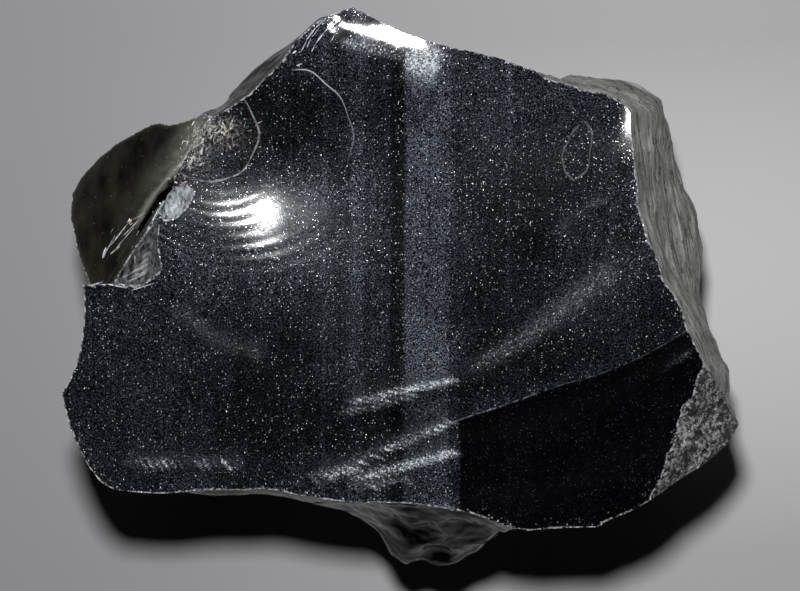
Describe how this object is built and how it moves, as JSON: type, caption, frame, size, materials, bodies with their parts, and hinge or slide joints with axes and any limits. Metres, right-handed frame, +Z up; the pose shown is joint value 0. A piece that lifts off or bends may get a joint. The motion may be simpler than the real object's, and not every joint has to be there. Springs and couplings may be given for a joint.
{
  "type": "obsidian chunk",
  "caption": "Hand-sized chunk of black volcanic glass with one large rippled shell-like fracture face, sharp rims and a weathered grey side, lying on its flat back.",
  "frame": {"origin": "middle of the stone's bounding box, at the height of the flat base it rests on", "axes": "+X along the longest side, towards the weathered flank; +Z up, out of the large fracture face; +Y towards the pointed top of that face"},
  "size_m": [0.1, 0.0832, 0.0482],
  "materials": {
    "obsidian": "glossy black volcanic glass",
    "weathered_skin": "matt grey weathered rind"
  },
  "bodies": {
    "root": {"obsidian_chunk": "obsidian"}
  },
  "joints": []
}
